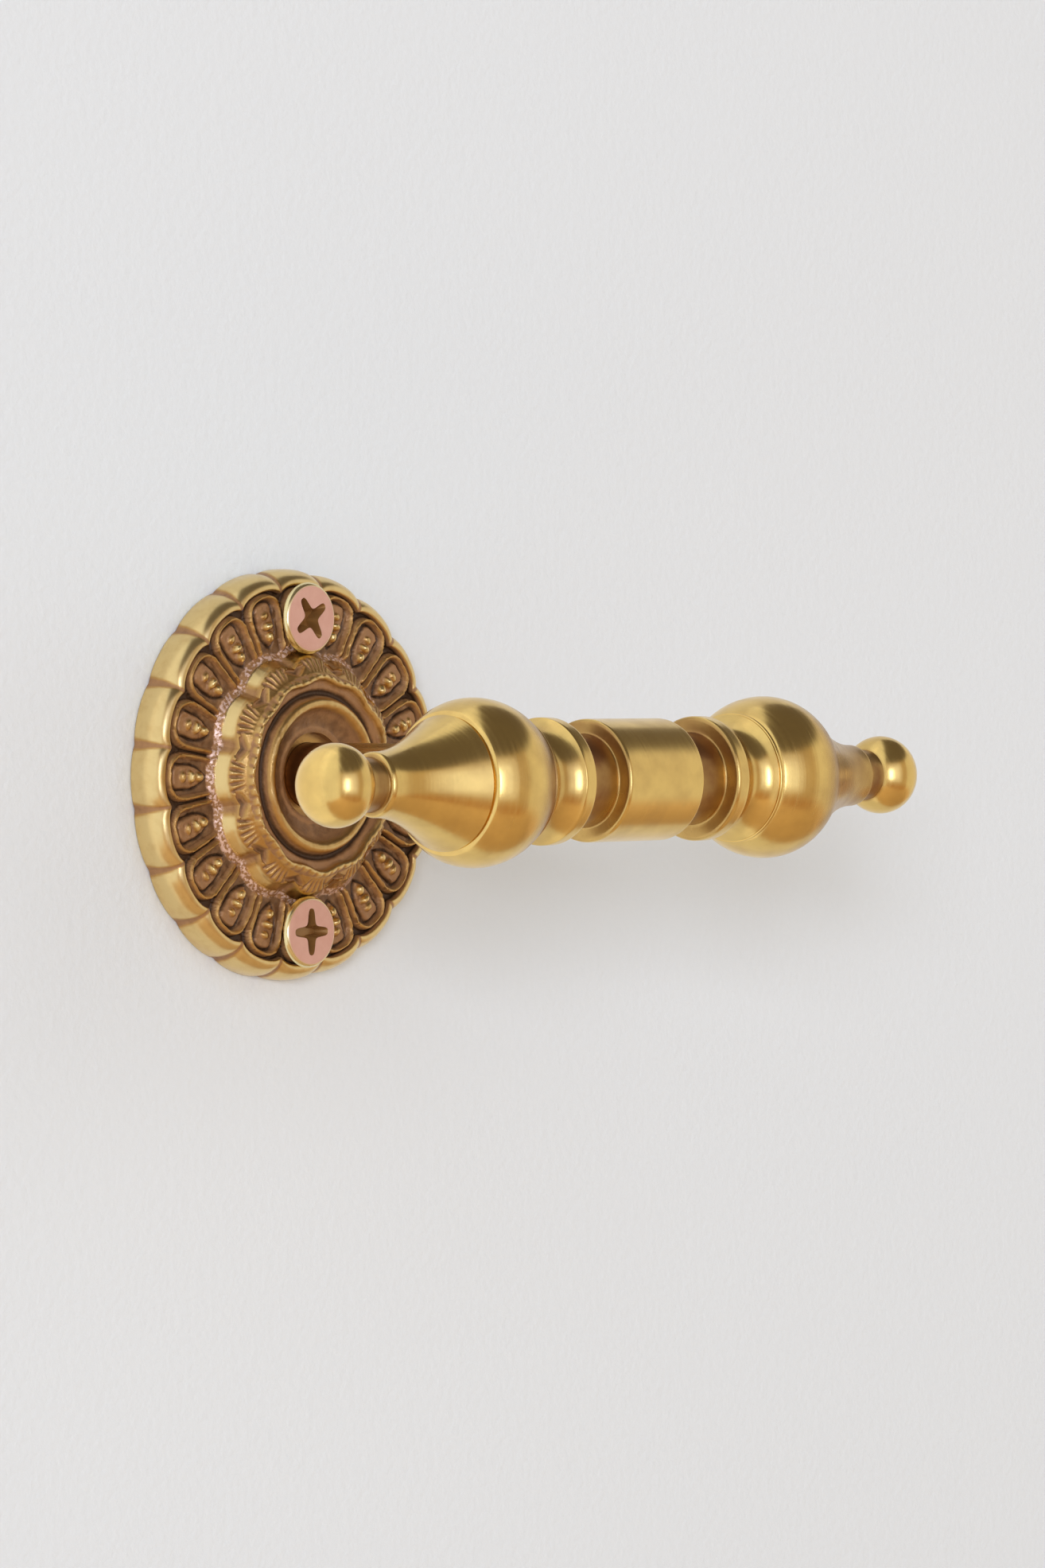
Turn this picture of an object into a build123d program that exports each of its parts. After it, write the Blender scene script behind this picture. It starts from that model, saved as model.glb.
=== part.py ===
from build123d import *
from math import cos, radians, sin, sqrt, tan
import os

# Wall hook in brass: a turned crossbar on a round stem that stands out of a cast rosette backplate.
# Sizes are millimetres. The hook is modelled lying on its back, with the wall face on the XY plane,
# Z out of the wall, the crossbar along X and Y up. The last lines stand it up against the wall.

# Backplate: scalloped rim, one lobe for each petal
plate_radius = 25.0
petal_count = 20
rim_notch_depth = 0.55
rim_wall = 1.4
rim_height = 4.2
rim_round = 1.7
rim_groove_width = 0.5
rim_round_facets = 2

# Backplate: ring of petals, each a rimmed pocket with an egg and a bead in it
field_height = 3.8
petal_rise = 1.0
petal_gap = 0.3
petal_ridge = 0.75
petal_slope = 18.0
petal_end_gap = 0.25
pocket_depth = 0.8
egg_length = 4.6
egg_width = 2.5
egg_shift = 0.45
egg_draft = 0.3
egg_rise = 0.35
bead_length = 2.6
bead_width = 1.3
bead_draft = 0.3
bead_rise = 0.85

# Backplate: lobed collar with two ring mouldings round the stem's hollow
collar_radius = 14.5
collar_lobes = 12
collar_notch_depth = 0.9
collar_height = 6.2
flutes_per_lobe = 3
flute_spacing = 7.0
flute_width = 0.9
flute_depth = 0.35
outer_ring_radius = 11.7
outer_ring_half_width = 0.65
outer_ring_height = 8.05
ring_base_height = 7.4
ring_groove_height = 6.9
inner_ring_radius = 8.7
inner_ring_half_width = 0.9
inner_ring_height = 8.1
hollow_radius = 5.2
hollow_edge_height = 6.2
hollow_floor_height = 5.2
socket_floor_height = 4.2

# Stem, with the threaded spigot that holds the bar
stem_radius = 3.95
stem_seat_depth = 2.0
spigot_radius = 2.5
spigot_length = 8.0
spigot_chamfer = 0.5
tap_spare = 0.6

# Crossbar: its distance from the wall, then radii and lengths of one half from the middle outwards
bar_offset = 55.6
barrel_radius = 7.1
barrel_half_length = 6.6
barrel_chamfer = 0.3
groove_radius = 5.35
groove_width = 5.8
band_radius = 7.3
band_width = 2.0
band_chamfer = 0.35
cove_radius = 5.7
cove_width = 5.2
lip_radius = 7.5
lip_width = 0.5
lip_step = 0.25
bulb_radius = 9.6
bulb_inner_width = 5.5
bulb_outer_width = 4.7
bell_radius = 7.6
bell_step = 0.45
bell_step_width = 0.15
bell_length = 10.55
bell_bend_place = 0.29
bell_bend_radius = 6.0
bell_run_place = 0.665
bell_tip_radius = 3.8
bell_lip_width = 0.4
neck_radius = 2.9
neck_length = 2.25
ball_radius = 4.7

# Wall screws: countersunk wood screws, one above and one below the collar
wall_screw_spacing = 38.0
wall_screw_length = 32.0
wall_screw_head_radius = 4.35
wall_screw_head_edge = 0.6
wall_screw_head_height = 5.9
wall_screw_shank_radius = 2.1
wall_screw_thread_radius = 1.75
wall_screw_point = 6.0
upper_screw_turn = 42.0
lower_screw_turn = 0.0

# Stem screw: countersunk machine screw from the plate's back
stem_screw_radius = 2.5
stem_screw_length = 16.0
stem_screw_head_radius = 4.6
stem_screw_head_edge = 0.3
stem_screw_sink = 0.2

# Cross recess in the heads of all three screws
recess_span = 5.0
recess_wing = 1.2
recess_floor_wing = 0.7
recess_depth = 2.0
recess_taper = 14.0

# Gaps between the pieces, on the radius
slip_gap = 0.05
thread_gap = 0.05
screw_head_gap = 0.1
screw_shank_gap = 0.25

# How far a root is sunk into what carries it, and a cutter runs past a face
bury = 0.5


def polar(radius, angle):
    """Point at a radius and an angle in degrees, clockwise from the top."""
    return (radius * sin(radians(angle)), radius * cos(radians(angle)))


def turned(*points):
    """Solid of revolution about Z from the corners of a closed (radius, height) outline."""
    return revolve(Plane.XZ * make_face(Polyline(*points, close=True)), Axis.Z)


def chords(edge, count):
    """Points that cut a curve into equal chords, so that it turns into a few plain cones."""
    return [edge @ (step / count) for step in range(count + 1)]


def lobed_face(tip_radius, notch_radius, lobes):
    """Flat face bounded by equal convex arcs that meet in notches."""
    half = 180 / lobes
    arcs = []
    for lobe in range(lobes):
        middle = 2 * half * lobe
        start = polar(notch_radius, middle - half)
        finish = polar(notch_radius, middle + half)
        arcs.append(ThreePointArc(start, polar(tip_radius, middle), finish))
    return make_face(arcs)


def almond_face(centre, length, width, height):
    """Flat pointed oval along Y, made of two arcs."""
    low = (0, centre - length / 2)
    high = (0, centre + length / 2)
    right = ThreePointArc(low, (width / 2, centre), high)
    left = ThreePointArc(high, (-width / 2, centre), low)
    return Pos(0, 0, height) * make_face([right, left])


def cross_recess():
    """Tapered four-winged driver recess, its mouth on the XY plane and its depth along -Z."""
    floor_span = recess_span - 2 * recess_depth * tan(radians(recess_taper))
    mouth = Rectangle(recess_span, recess_wing)
    floor = Pos(0, 0, -recess_depth) * Rectangle(floor_span, recess_floor_wing)
    wing = loft([floor, mouth], ruled=True)
    return wing + Rot(0, 0, 90) * wing


# Places on the backplate that follow from the sizes above
sector_half = 180 / petal_count
notch_radius = plate_radius - rim_notch_depth
lobe_rise = plate_radius - notch_radius * cos(radians(sector_half))
lobe_half_chord = notch_radius * sin(radians(sector_half))
lobe_radius = (lobe_half_chord**2 + lobe_rise**2) / (2 * lobe_rise)
lobe_centre = plate_radius - lobe_radius
rim_front_radius = lobe_radius - rim_round
rim_groove_radius = rim_front_radius - rim_groove_width
petal_start = collar_radius - collar_notch_depth - bury
sector_start = petal_start - bury
petal_end = lobe_centre + rim_groove_radius - petal_end_gap
petal_arc_centre = (petal_end + petal_gap / 2) / (1 + sin(radians(sector_half)))
petal_top = field_height + petal_rise
pocket_floor = petal_top - pocket_depth
egg_height = pocket_floor + egg_rise
bead_height = pocket_floor + bead_rise
outer_ring_edge = outer_ring_radius + outer_ring_half_width
collar_slope = (ring_base_height - collar_height) / (collar_radius - outer_ring_edge)
socket_radius = stem_radius + slip_gap


def collar_slope_height(radius):
    """Height of the collar's sloping front at a radius."""
    return collar_height + collar_slope * (collar_radius - radius)


def petal_face(margin, height):
    """Round-ended petal outline that keeps a margin inside its sector's edges."""
    along = Vector(*polar(1, sector_half))
    inward = Vector(-along.Y, along.X)
    foot = along * petal_start + inward * margin
    shoulder = along * (petal_arc_centre * along.Y) + inward * margin
    end = (0, petal_arc_centre + petal_arc_centre * along.X - margin)
    right_foot = (foot.X, foot.Y)
    left_foot = (-foot.X, foot.Y)
    right_shoulder = (shoulder.X, shoulder.Y)
    left_shoulder = (-shoulder.X, shoulder.Y)
    edges = [
        Line(right_foot, right_shoulder),
        ThreePointArc(right_shoulder, end, left_shoulder),
        Line(left_shoulder, left_foot),
        Line(left_foot, right_foot),
    ]
    return Pos(0, 0, height) * make_face(edges)


def rim_sector():
    """One lobe of the rim with the flat field behind it, cut to its share of the circle."""
    front = (rim_front_radius, rim_height)
    rounding = TangentArc((lobe_radius, rim_wall), front, tangent=(0, 1))
    lobe = turned(
        (0, 0),
        (lobe_radius, 0),
        *chords(rounding, rim_round_facets),
        (rim_groove_radius, field_height),
        (0, field_height),
    )
    reach = (plate_radius + bury) / cos(radians(sector_half))
    wedge = Polyline(
        polar(sector_start, sector_half),
        polar(reach, sector_half),
        polar(reach, -sector_half),
        polar(sector_start, -sector_half),
        close=True,
    )
    return Pos(0, lobe_centre, 0) * lobe & extrude(make_face(wedge), rim_height + bury)


def petal():
    """Sloping ridge round a pocket, with an egg standing in it and a bead on the egg."""
    lean = tan(radians(petal_slope))
    outer_margin = petal_gap / 2
    top_margin = outer_margin + petal_rise * lean
    mouth_margin = top_margin + petal_ridge
    floor_margin = mouth_margin + pocket_depth * lean
    root = petal_face(outer_margin - bury * lean, field_height - bury)
    crown = petal_face(top_margin, petal_top)
    mouth = petal_face(mouth_margin, petal_top)
    bed = petal_face(floor_margin, pocket_floor)
    ridge = loft([root, crown], ruled=True) - loft([bed, mouth], ruled=True)

    middle = petal_arc_centre - egg_shift
    egg_foot = almond_face(middle, egg_length, egg_width, pocket_floor - bury)
    egg_top = almond_face(middle, egg_length - egg_draft, egg_width - egg_draft, egg_height)
    bead_foot = almond_face(middle, bead_length, bead_width, pocket_floor)
    bead_top = almond_face(middle, bead_length - bead_draft, bead_width - bead_draft, bead_height)
    return ridge + loft([egg_foot, egg_top], ruled=True) + loft([bead_foot, bead_top], ruled=True)


def collar():
    """Lobed boss with its ring mouldings, the hollow for the stem and the stem screw's seat."""
    bore = stem_screw_radius + screw_shank_gap
    seat = stem_screw_head_radius + screw_head_gap
    seat_edge = stem_screw_sink + stem_screw_head_edge
    reach = collar_radius + bury
    boss = turned(
        (reach, collar_slope_height(reach)),
        (outer_ring_edge, ring_base_height),
        (outer_ring_radius, outer_ring_height),
        (outer_ring_radius - outer_ring_half_width, ring_groove_height),
        (inner_ring_radius + inner_ring_half_width, ring_groove_height),
        (inner_ring_radius, inner_ring_height),
        (inner_ring_radius - inner_ring_half_width, ring_base_height),
        (hollow_radius, hollow_edge_height),
        (hollow_radius, hollow_floor_height),
        (socket_radius, hollow_floor_height),
        (socket_radius, socket_floor_height),
        (bore, socket_floor_height),
        (bore, seat_edge + stem_screw_head_radius - bore),
        (seat, seat_edge - screw_head_gap),
        (seat, 0),
        (reach, 0),
    )
    outline = lobed_face(collar_radius, collar_radius - collar_notch_depth, collar_lobes)
    return boss & extrude(outline, inner_ring_height)


def flutes():
    """V-shaped cutters for the fans of flutes on the collar's sloping front, one fan to a lobe."""
    run = Vector(0, collar_radius - outer_ring_edge, collar_height - ring_base_height)
    start = Vector(0, outer_ring_edge, ring_base_height) + run.normalized() * flute_width
    section = Polyline((-flute_width / 2, 0), (0, flute_depth), (flute_width / 2, 0), close=True)
    flute = extrude(Plane(origin=start, x_dir=(1, 0, 0), z_dir=run) * make_face(section), run.length)
    fan = [(index - (flutes_per_lobe - 1) / 2) * flute_spacing for index in range(flutes_per_lobe)]
    lobe_turns = [lobe * 360 / collar_lobes for lobe in range(collar_lobes)]
    return [Rot(0, 0, lobe_turn + turn) * flute for lobe_turn in lobe_turns for turn in fan]


def wall_screw_hole():
    """Cutter for a wall screw's clearance hole and the countersink that its head bears on."""
    bore = wall_screw_shank_radius + screw_shank_gap
    mouth = wall_screw_head_radius + screw_head_gap
    edge_height = wall_screw_head_height - wall_screw_head_edge
    top = max(wall_screw_head_height, petal_top) + bury
    return turned(
        (0, -bury),
        (bore, -bury),
        (bore, edge_height - (wall_screw_head_radius - bore)),
        (mouth, edge_height + screw_head_gap),
        (mouth, top),
        (0, top),
    )


def backplate():
    """The whole casting: collar, ring of petals, flutes and the two screw holes."""
    sector = rim_sector() + petal()
    casting = collar() + PolarLocations(0, petal_count) * sector
    holes = [Pos(0, side * wall_screw_spacing / 2, 0) * wall_screw_hole() for side in (1, -1)]
    return casting - (flutes() + holes)


# Places along the stem
stem_top = bar_offset - barrel_radius + stem_seat_depth
spigot_top = stem_top + spigot_length
stem_screw_tip = stem_screw_sink + stem_screw_length


def stem():
    """Round rod, tapped at its foot for the stem screw and turned down to a spigot at its top."""
    tap = stem_screw_radius + thread_gap
    return turned(
        (tap, socket_floor_height),
        (stem_radius, socket_floor_height),
        (stem_radius, stem_top),
        (spigot_radius, stem_top),
        (spigot_radius, spigot_top - spigot_chamfer),
        (spigot_radius - spigot_chamfer, spigot_top),
        (0, spigot_top),
        (0, stem_screw_tip + tap_spare),
        (tap, stem_screw_tip + tap_spare),
    )


def bar_half_outline():
    """Edges of the bar's outline from its middle to its tip, as (distance along, radius)."""
    groove = barrel_half_length
    band = groove + groove_width
    cove = band + band_width
    lip = cove + cove_width
    bulb = lip + lip_width + bulb_inner_width
    step = bulb + bulb_outer_width
    bell = step + bell_step_width
    bell_tip = bell + bell_length
    neck = bell_tip + bell_lip_width
    ball_edge = neck + neck_length
    ball = ball_edge + sqrt(ball_radius**2 - neck_radius**2)

    cove_start = (cove, band_radius)
    cove_end = (lip, lip_radius)
    cove_bend = (cove + cove_width / 2, 2 * cove_radius - (band_radius + lip_radius) / 2)
    bulb_foot = (lip + lip_width, lip_radius + lip_step)
    bulb_top = (bulb, bulb_radius)
    bulb_end = (step, bell_radius + bell_step)
    bell_start = (bell, bell_radius)
    bell_bend = (bell + bell_bend_place * bell_length, bell_bend_radius)
    bell_run = (bell + bell_run_place * bell_length, bell_tip_radius)
    bell_end = (bell_tip, bell_tip_radius)
    ball_start = (ball_edge, neck_radius)
    ball_side = (ball, ball_radius)
    ball_end = (ball + ball_radius, 0)

    barrel_and_band = Polyline(
        (0, barrel_radius),
        (groove - barrel_chamfer, barrel_radius),
        (groove, barrel_radius - barrel_chamfer),
        (groove, groove_radius),
        (band, groove_radius),
        (band, band_radius - band_chamfer),
        (band + band_chamfer, band_radius),
        cove_start,
    )
    return [
        barrel_and_band,
        Bezier(cove_start, cove_bend, cove_end),
        Line(cove_end, bulb_foot),
        TangentArc(bulb_top, bulb_foot, tangent=(-1, 0)),
        TangentArc(bulb_top, bulb_end, tangent=(1, 0)),
        Line(bulb_end, bell_start),
        Bezier(bell_start, bell_bend, bell_run, bell_end),
        Polyline(bell_end, (neck, neck_radius), ball_start),
        ThreePointArc(ball_start, ball_side, ball_end),
    ]


def crossbar():
    """The turned bar, bored and tapped in the back of its barrel for the stem."""
    half = Curve() + bar_half_outline()
    outline = half + mirror(half, about=Plane.YZ)
    tip = half.bounding_box().max.X
    bar = Pos(0, 0, bar_offset) * revolve(make_face(outline + Line((-tip, 0), (tip, 0))), Axis.X)
    mouth = bar_offset - barrel_radius - bury
    tap_top = spigot_top + tap_spare
    tap = spigot_radius + thread_gap
    bore = turned(
        (0, mouth),
        (socket_radius, mouth),
        (socket_radius, stem_top),
        (tap, stem_top),
        (tap, tap_top),
        (0, tap_top),
    )
    return bar - bore


def wall_screw(turn):
    """Countersunk wood screw, its thread as a plain core and its cross recess turned by an angle."""
    top = wall_screw_head_height
    edge = top - wall_screw_head_edge
    tip = top - wall_screw_length
    body = turned(
        (0, top),
        (wall_screw_head_radius, top),
        (wall_screw_head_radius, edge),
        (wall_screw_shank_radius, edge - (wall_screw_head_radius - wall_screw_shank_radius)),
        (wall_screw_shank_radius, 0),
        (wall_screw_thread_radius, 0),
        (wall_screw_thread_radius, tip + wall_screw_point),
        (0, tip),
    )
    return body - Pos(0, 0, top) * Rot(0, 0, turn) * cross_recess()


def wall_screws():
    """The upper and the lower wall screw."""
    upper = Pos(0, wall_screw_spacing / 2, 0) * wall_screw(upper_screw_turn)
    lower = Pos(0, -wall_screw_spacing / 2, 0) * wall_screw(lower_screw_turn)
    return Compound([*upper.solids(), *lower.solids()])


def stem_screw():
    """Countersunk machine screw that draws the stem onto the plate, its head in the plate's back."""
    head = stem_screw_sink
    edge = head + stem_screw_head_edge
    body = turned(
        (0, head),
        (stem_screw_head_radius, head),
        (stem_screw_head_radius, edge),
        (stem_screw_radius, edge + stem_screw_head_radius - stem_screw_radius),
        (stem_screw_radius, stem_screw_tip),
        (0, stem_screw_tip),
    )
    return body - Pos(0, 0, head) * Rot(180, 0, 0) * cross_recess()


pieces = {
    "backplate": backplate(),
    "stem": stem(),
    "crossbar": crossbar(),
    "stem_screw": stem_screw(),
    "wall_screws": wall_screws(),
}

# Stand the hook up: Z up, the wall on the XZ plane, the crossbar out along -Y
os.makedirs("parts", exist_ok=True)
for name, piece in pieces.items():
    export_step(Rot(90, 0, 0) * piece, f"parts/{name}.step")
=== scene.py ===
import bpy
import numpy as np
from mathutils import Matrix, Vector


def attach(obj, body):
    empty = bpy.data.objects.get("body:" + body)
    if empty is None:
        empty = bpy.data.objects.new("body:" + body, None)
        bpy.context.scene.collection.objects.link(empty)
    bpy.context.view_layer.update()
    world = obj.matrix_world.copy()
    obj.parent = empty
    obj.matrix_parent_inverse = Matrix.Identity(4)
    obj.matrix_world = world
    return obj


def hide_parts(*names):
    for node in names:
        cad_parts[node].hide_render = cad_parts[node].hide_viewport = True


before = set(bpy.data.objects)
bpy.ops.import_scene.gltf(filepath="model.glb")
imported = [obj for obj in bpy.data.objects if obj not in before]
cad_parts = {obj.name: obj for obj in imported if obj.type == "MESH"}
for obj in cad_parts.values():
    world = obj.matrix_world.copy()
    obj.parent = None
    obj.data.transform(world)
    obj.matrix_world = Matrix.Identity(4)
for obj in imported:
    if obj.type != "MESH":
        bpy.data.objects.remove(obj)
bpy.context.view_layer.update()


# Backplate: one sand-cast brass rosette with a polished scalloped rim, a ring of egg petals
# and a lobed collar. The casting keeps a brown patina all over its field, is rubbed lighter on
# its ridges and is polished on the rim and the collar's wall. Two countersunk screws hold it up.

mm = 0.001
plate_columns = 660
plate_radius = 25.0
petals = 20
petal_half_angle = np.pi / petals
rim_wall = 1.2
rim_height = 4.2
rim_round = 1.7
rim_edge = 2.0
rim_notch_back = 0.35
rim_notch_front = 0.85
gap_height = 3.5
plate_axis = (0, 1, 0)


def repeat(angle, half_angle):
    """Angle from the middle of the nearest of equal sectors."""
    return (angle + half_angle) % (2 * half_angle) - half_angle


def ease(value, low, high):
    """Smooth step from 0 at low to 1 at high."""
    t = np.clip((value - low) / (high - low), 0, 1)
    return t * t * (3 - 2 * t)


def mound(distance, half_width):
    """Rounded ridge: 1 on its crest, falling as a parabola to 0 at its half width."""
    return np.clip(1 - (distance / half_width) ** 2, 0, 1)


def lumps(across, up, size, seed):
    """Uneven casting skin: seeded random heights on a square net, eased from one crossing to the next."""
    net = np.random.default_rng(seed).random((256, 256)) - 0.5
    column, row = across / size + 128, up / size + 128
    left, below = np.floor(column).astype(int), np.floor(row).astype(int)
    along, above = ease(column - left, 0, 1), ease(row - below, 0, 1)
    low = net[below, left] * (1 - along) + net[below, left + 1] * along
    high = net[below + 1, left] * (1 - along) + net[below + 1, left + 1] * along
    return low * (1 - above) + high * above


def scallop(angle):
    """Share of the rim's notch: 0 on a lobe's middle, rising by the square and fourth power to 1 in it."""
    share = repeat(angle, petal_half_angle) / petal_half_angle
    return 0.45 * share**2 + 0.55 * share**4


def rim_front(angle):
    """Radius of the rim's inner edge, where the petals end."""
    return plate_radius - rim_edge - rim_notch_front * scallop(angle)


collar_radius = 14.5
collar_notch_radius = 13.6
collar_lobes = 12
collar_half_angle = np.pi / collar_lobes


def collar_outline(angle):
    """Radius of the collar's lobed edge: a ray cut by the circle through a lobe's tip and its two notches."""
    rise = collar_radius - collar_notch_radius * np.cos(collar_half_angle)
    half_chord = collar_notch_radius * np.sin(collar_half_angle)
    lobe_radius = (half_chord**2 + rise**2) / (2 * rise)
    centre = collar_radius - lobe_radius
    turn = repeat(angle, collar_half_angle)
    return centre * np.cos(turn) + np.sqrt(lobe_radius**2 - (centre * np.sin(turn)) ** 2)


petal_end_round = 3.1
petal_end_clearance = 0.1
petal_ridge_rise = 1.1
eye_rise = 0.45
eye_place = 19.4
eye_half_width = 1.75
eye_bow = 4.3
eye_inset = 0.78
eye_groove_depth = 0.5

# Each swelling in a petal's eye: its place from the plate's centre, half width, half length, rise and rub.
swellings = [(17.6, 0.62, 0.72, 0.7, 0.95), (18.95, 0.8, 0.5, 0.85, 1.05), (20.2, 0.7, 0.5, 0.45, 0.7)]


def petal_relief(radius, angle):
    """Height and wear of the petals: a broad rounded ridge round each, and inside it an eye in a groove.
    The distance to a petal's edge is a soft minimum of those to the sector's sides and to its end's curve.
    The eye is round outside, runs to a point between two arcs, and holds a row of oval swellings.
    The wear drops in the eye's groove and between the petals, which darkens them: dark oxide with painted
    shade."""
    turn = repeat(angle, petal_half_angle)
    across = np.abs(radius * np.sin(turn))
    along = radius * np.cos(turn)
    least = 0.02
    side = np.maximum(along * np.sin(petal_half_angle) - across * np.cos(petal_half_angle), least)
    end_place = plate_radius - rim_edge - petal_end_round - petal_end_clearance
    end = petal_end_round - (across**2.5 + np.maximum(along - end_place, 0) ** 2.5) ** 0.4
    end = np.maximum(end, least)
    inside = (side**-6 + end**-6) ** (-1 / 6)
    fade = ease(radius - collar_outline(angle), 0.7, 1.9)
    ridge = ease(inside, 0.06, 0.34) * (1 - ease(inside, 0.55, 0.92)) * fade
    gap = (1 - ease(inside, 0.02, 0.2)) * fade

    bow_side = eye_bow - np.hypot(across + eye_bow - eye_half_width, np.minimum(along - eye_place, 0))
    bow_side = np.maximum(bow_side, least)
    ridge_side = np.maximum(inside - eye_inset, least)
    eye_inside = (bow_side**-3 + ridge_side**-3) ** (-1 / 3)
    groove = mound(eye_inside - 0.2, 0.26)

    relief = petal_ridge_rise * ridge + eye_rise * ease(inside, 0.5, 1.0) - eye_groove_depth * groove
    # Painted shade: the eye's groove and the gaps between petals take off wear, darkening them beyond their
    # oxide.
    wear_and_shading = 0.7 * ridge - 0.6 * groove - 0.5 * gap
    for place, half_width, half_length, rise, rub in swellings:
        oval = (across / half_width) ** 2 + ((along - place) / half_length) ** 2
        swelling = np.sqrt(np.clip(1 - oval, 0, 1))
        relief = relief + rise * swelling
        wear_and_shading = wear_and_shading + rub * swelling
    return gap_height + relief, np.clip(wear_and_shading, -1, 1)


collar_foot = 1.5
collar_foot_rise = 0.6
collar_wall = 0.65
collar_wall_rise = 1.25
collar_lip_rise = 0.4
collar_slope_rise = 1.25
stroke_angles = np.radians([-7.2, -3.6, 0.0, 3.6, 7.2])
stroke_depth = 0.3
lobe_hollow_depth = 0.6
ring_foot_radius = 12.35
ring_base_height = 7.2
outer_ring_radius = 11.75
outer_ring_rise = 0.8
ring_wave = 0.22
ring_nick = 0.14
ring_groove_radius = 9.95
ring_groove_depth = 0.5
inner_ring_radius = 8.75
inner_ring_rise = 0.85
cavetto_radius = 7.8
cavetto_depth = 1.2
hollow_bead_radius = 5.65
hollow_bead_rise = 0.15
hollow_radius = 5.2
hollow_edge_height = 6.2


def collar_relief(radius, angle):
    """Height and wear of the collar: a rough flared foot, a steep polished wall, a rolled lip with a fan of
    short strokes on each lobe and a hollow between two lobes, then turned rings and a cavetto.
    The wear carries painted shade too: it drops in the strokes, lobe hollows, nicks, ring groove and cavetto
    and on the wall towards each notch; it rises to bright brass inside the central hollow as a painted
    reflection."""
    turn = repeat(angle, collar_half_angle)
    depth = collar_outline(angle) - radius
    foot = ease(depth, -collar_foot, -collar_wall)
    wall = np.clip((depth + collar_wall) / (collar_wall + 0.1), 0, 1)
    lip = ease(depth, 0.02, 0.45)
    slope = np.clip(depth / (collar_outline(angle) - ring_foot_radius), 0, 1)
    spread = 1.15 - 0.5 * slope
    stroke_half_width = np.radians(1.15 - 0.4 * slope)
    stroke = sum(mound(turn - place * spread, stroke_half_width) for place in stroke_angles)
    stroke = stroke * ease(depth, 0.2, 0.45) * (1 - ease(depth, 1.2, 2.0))
    notch = (collar_half_angle - np.abs(turn)) * radius
    hollow = np.clip(1 - (notch / 1.9) ** 2 - ((depth - 0.85) / 0.42) ** 2, 0, 1)
    front = gap_height + 0.2 + collar_foot_rise * foot + collar_wall_rise * wall
    front = front + collar_lip_rise * lip + collar_slope_rise * slope
    front = front - stroke_depth * stroke - lobe_hollow_depth * np.sqrt(hollow)
    # Painted shade: the wall's polish fades towards each lobe's notch, and the strokes and lobe hollows take
    # off wear.
    polish = ease(depth, -0.75, -0.6) * (1 - ease(depth, 0.05, 0.3)) * (0.1 + 0.9 * ease(notch, 0.3, 1.7))
    front_wear_and_shading = 0.9 * polish + 0.6 * lip - 0.15 * slope - 0.85 * stroke - 0.9 * hollow

    wave = ring_wave * np.cos(collar_lobes * angle)
    outer_ring = mound(radius - outer_ring_radius - wave, 0.62)
    shoulder = mound(radius - outer_ring_radius - 0.3 - wave, 0.4)
    nicks = ring_nick * np.clip(np.cos(5 * collar_lobes * angle), 0, 1) * shoulder
    groove = mound(radius - ring_groove_radius, 0.55)
    inner_ring = mound(radius - inner_ring_radius, 0.95)
    cavetto = np.clip((cavetto_radius - radius) / (cavetto_radius - hollow_radius), 0, 1)
    bowl = (ring_base_height - hollow_edge_height) * cavetto + cavetto_depth * cavetto * (1 - cavetto)
    hollow_bead = mound(radius - hollow_bead_radius, 0.35)
    moulding = ring_base_height + outer_ring_rise * outer_ring - nicks - ring_groove_depth * groove
    moulding = moulding + inner_ring_rise * inner_ring - bowl + hollow_bead_rise * hollow_bead
    # Painted shade: the nicks, the ring groove and the cavetto take off wear.
    moulding_wear_and_shading = 0.8 * outer_ring - 4.0 * nicks + 0.65 * inner_ring - 0.7 * groove
    moulding_wear_and_shading = moulding_wear_and_shading - 0.2 * ease(cavetto, 0, 0.3) + 0.25 * hollow_bead
    # Painted reflection: inside the central hollow the wear rises to bright brass, so that its shaded wall
    # reads lighter.
    moulding_wear_and_shading = moulding_wear_and_shading + 0.7 * ease(radius, hollow_radius + 0.1, hollow_radius - 0.1)

    height = np.where(radius < ring_foot_radius, moulding, front)
    wear_and_shading = np.where(radius < ring_foot_radius, moulding_wear_and_shading, front_wear_and_shading)
    return height, np.clip(wear_and_shading, -1, 1)


def field_relief(radius, angle):
    """Height and wear inside the rim, the wear with its painted shade and light: the collar where it stands,
    else the higher of petals and its foot.
    """
    petal_height, petal_wear_and_shade = petal_relief(radius, angle)
    collar_height, collar_wear_and_shading = collar_relief(radius, angle)
    depth = collar_outline(angle) - radius
    on_collar = (depth > -collar_wall) | ((depth > -collar_foot) & (collar_height > petal_height))
    across, up = radius * np.sin(angle), radius * np.cos(angle)
    casting_skin = 0.14 * lumps(across, up, 0.9, 3) + 0.12 * lumps(across, up, 0.42, 5)
    rough = np.where(depth > -collar_wall, 0.3, 1.0)
    height = np.where(on_collar, collar_height, petal_height) + rough * casting_skin
    return height, np.where(on_collar, collar_wear_and_shading, petal_wear_and_shade)


socket_radius = 4.0
socket_mouth = 5.2
socket_floor = 4.2
stem_screw_bore = 2.75
stem_screw_cone = 2.35
stem_screw_head = 4.7
stem_screw_sunk = 0.4


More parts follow.
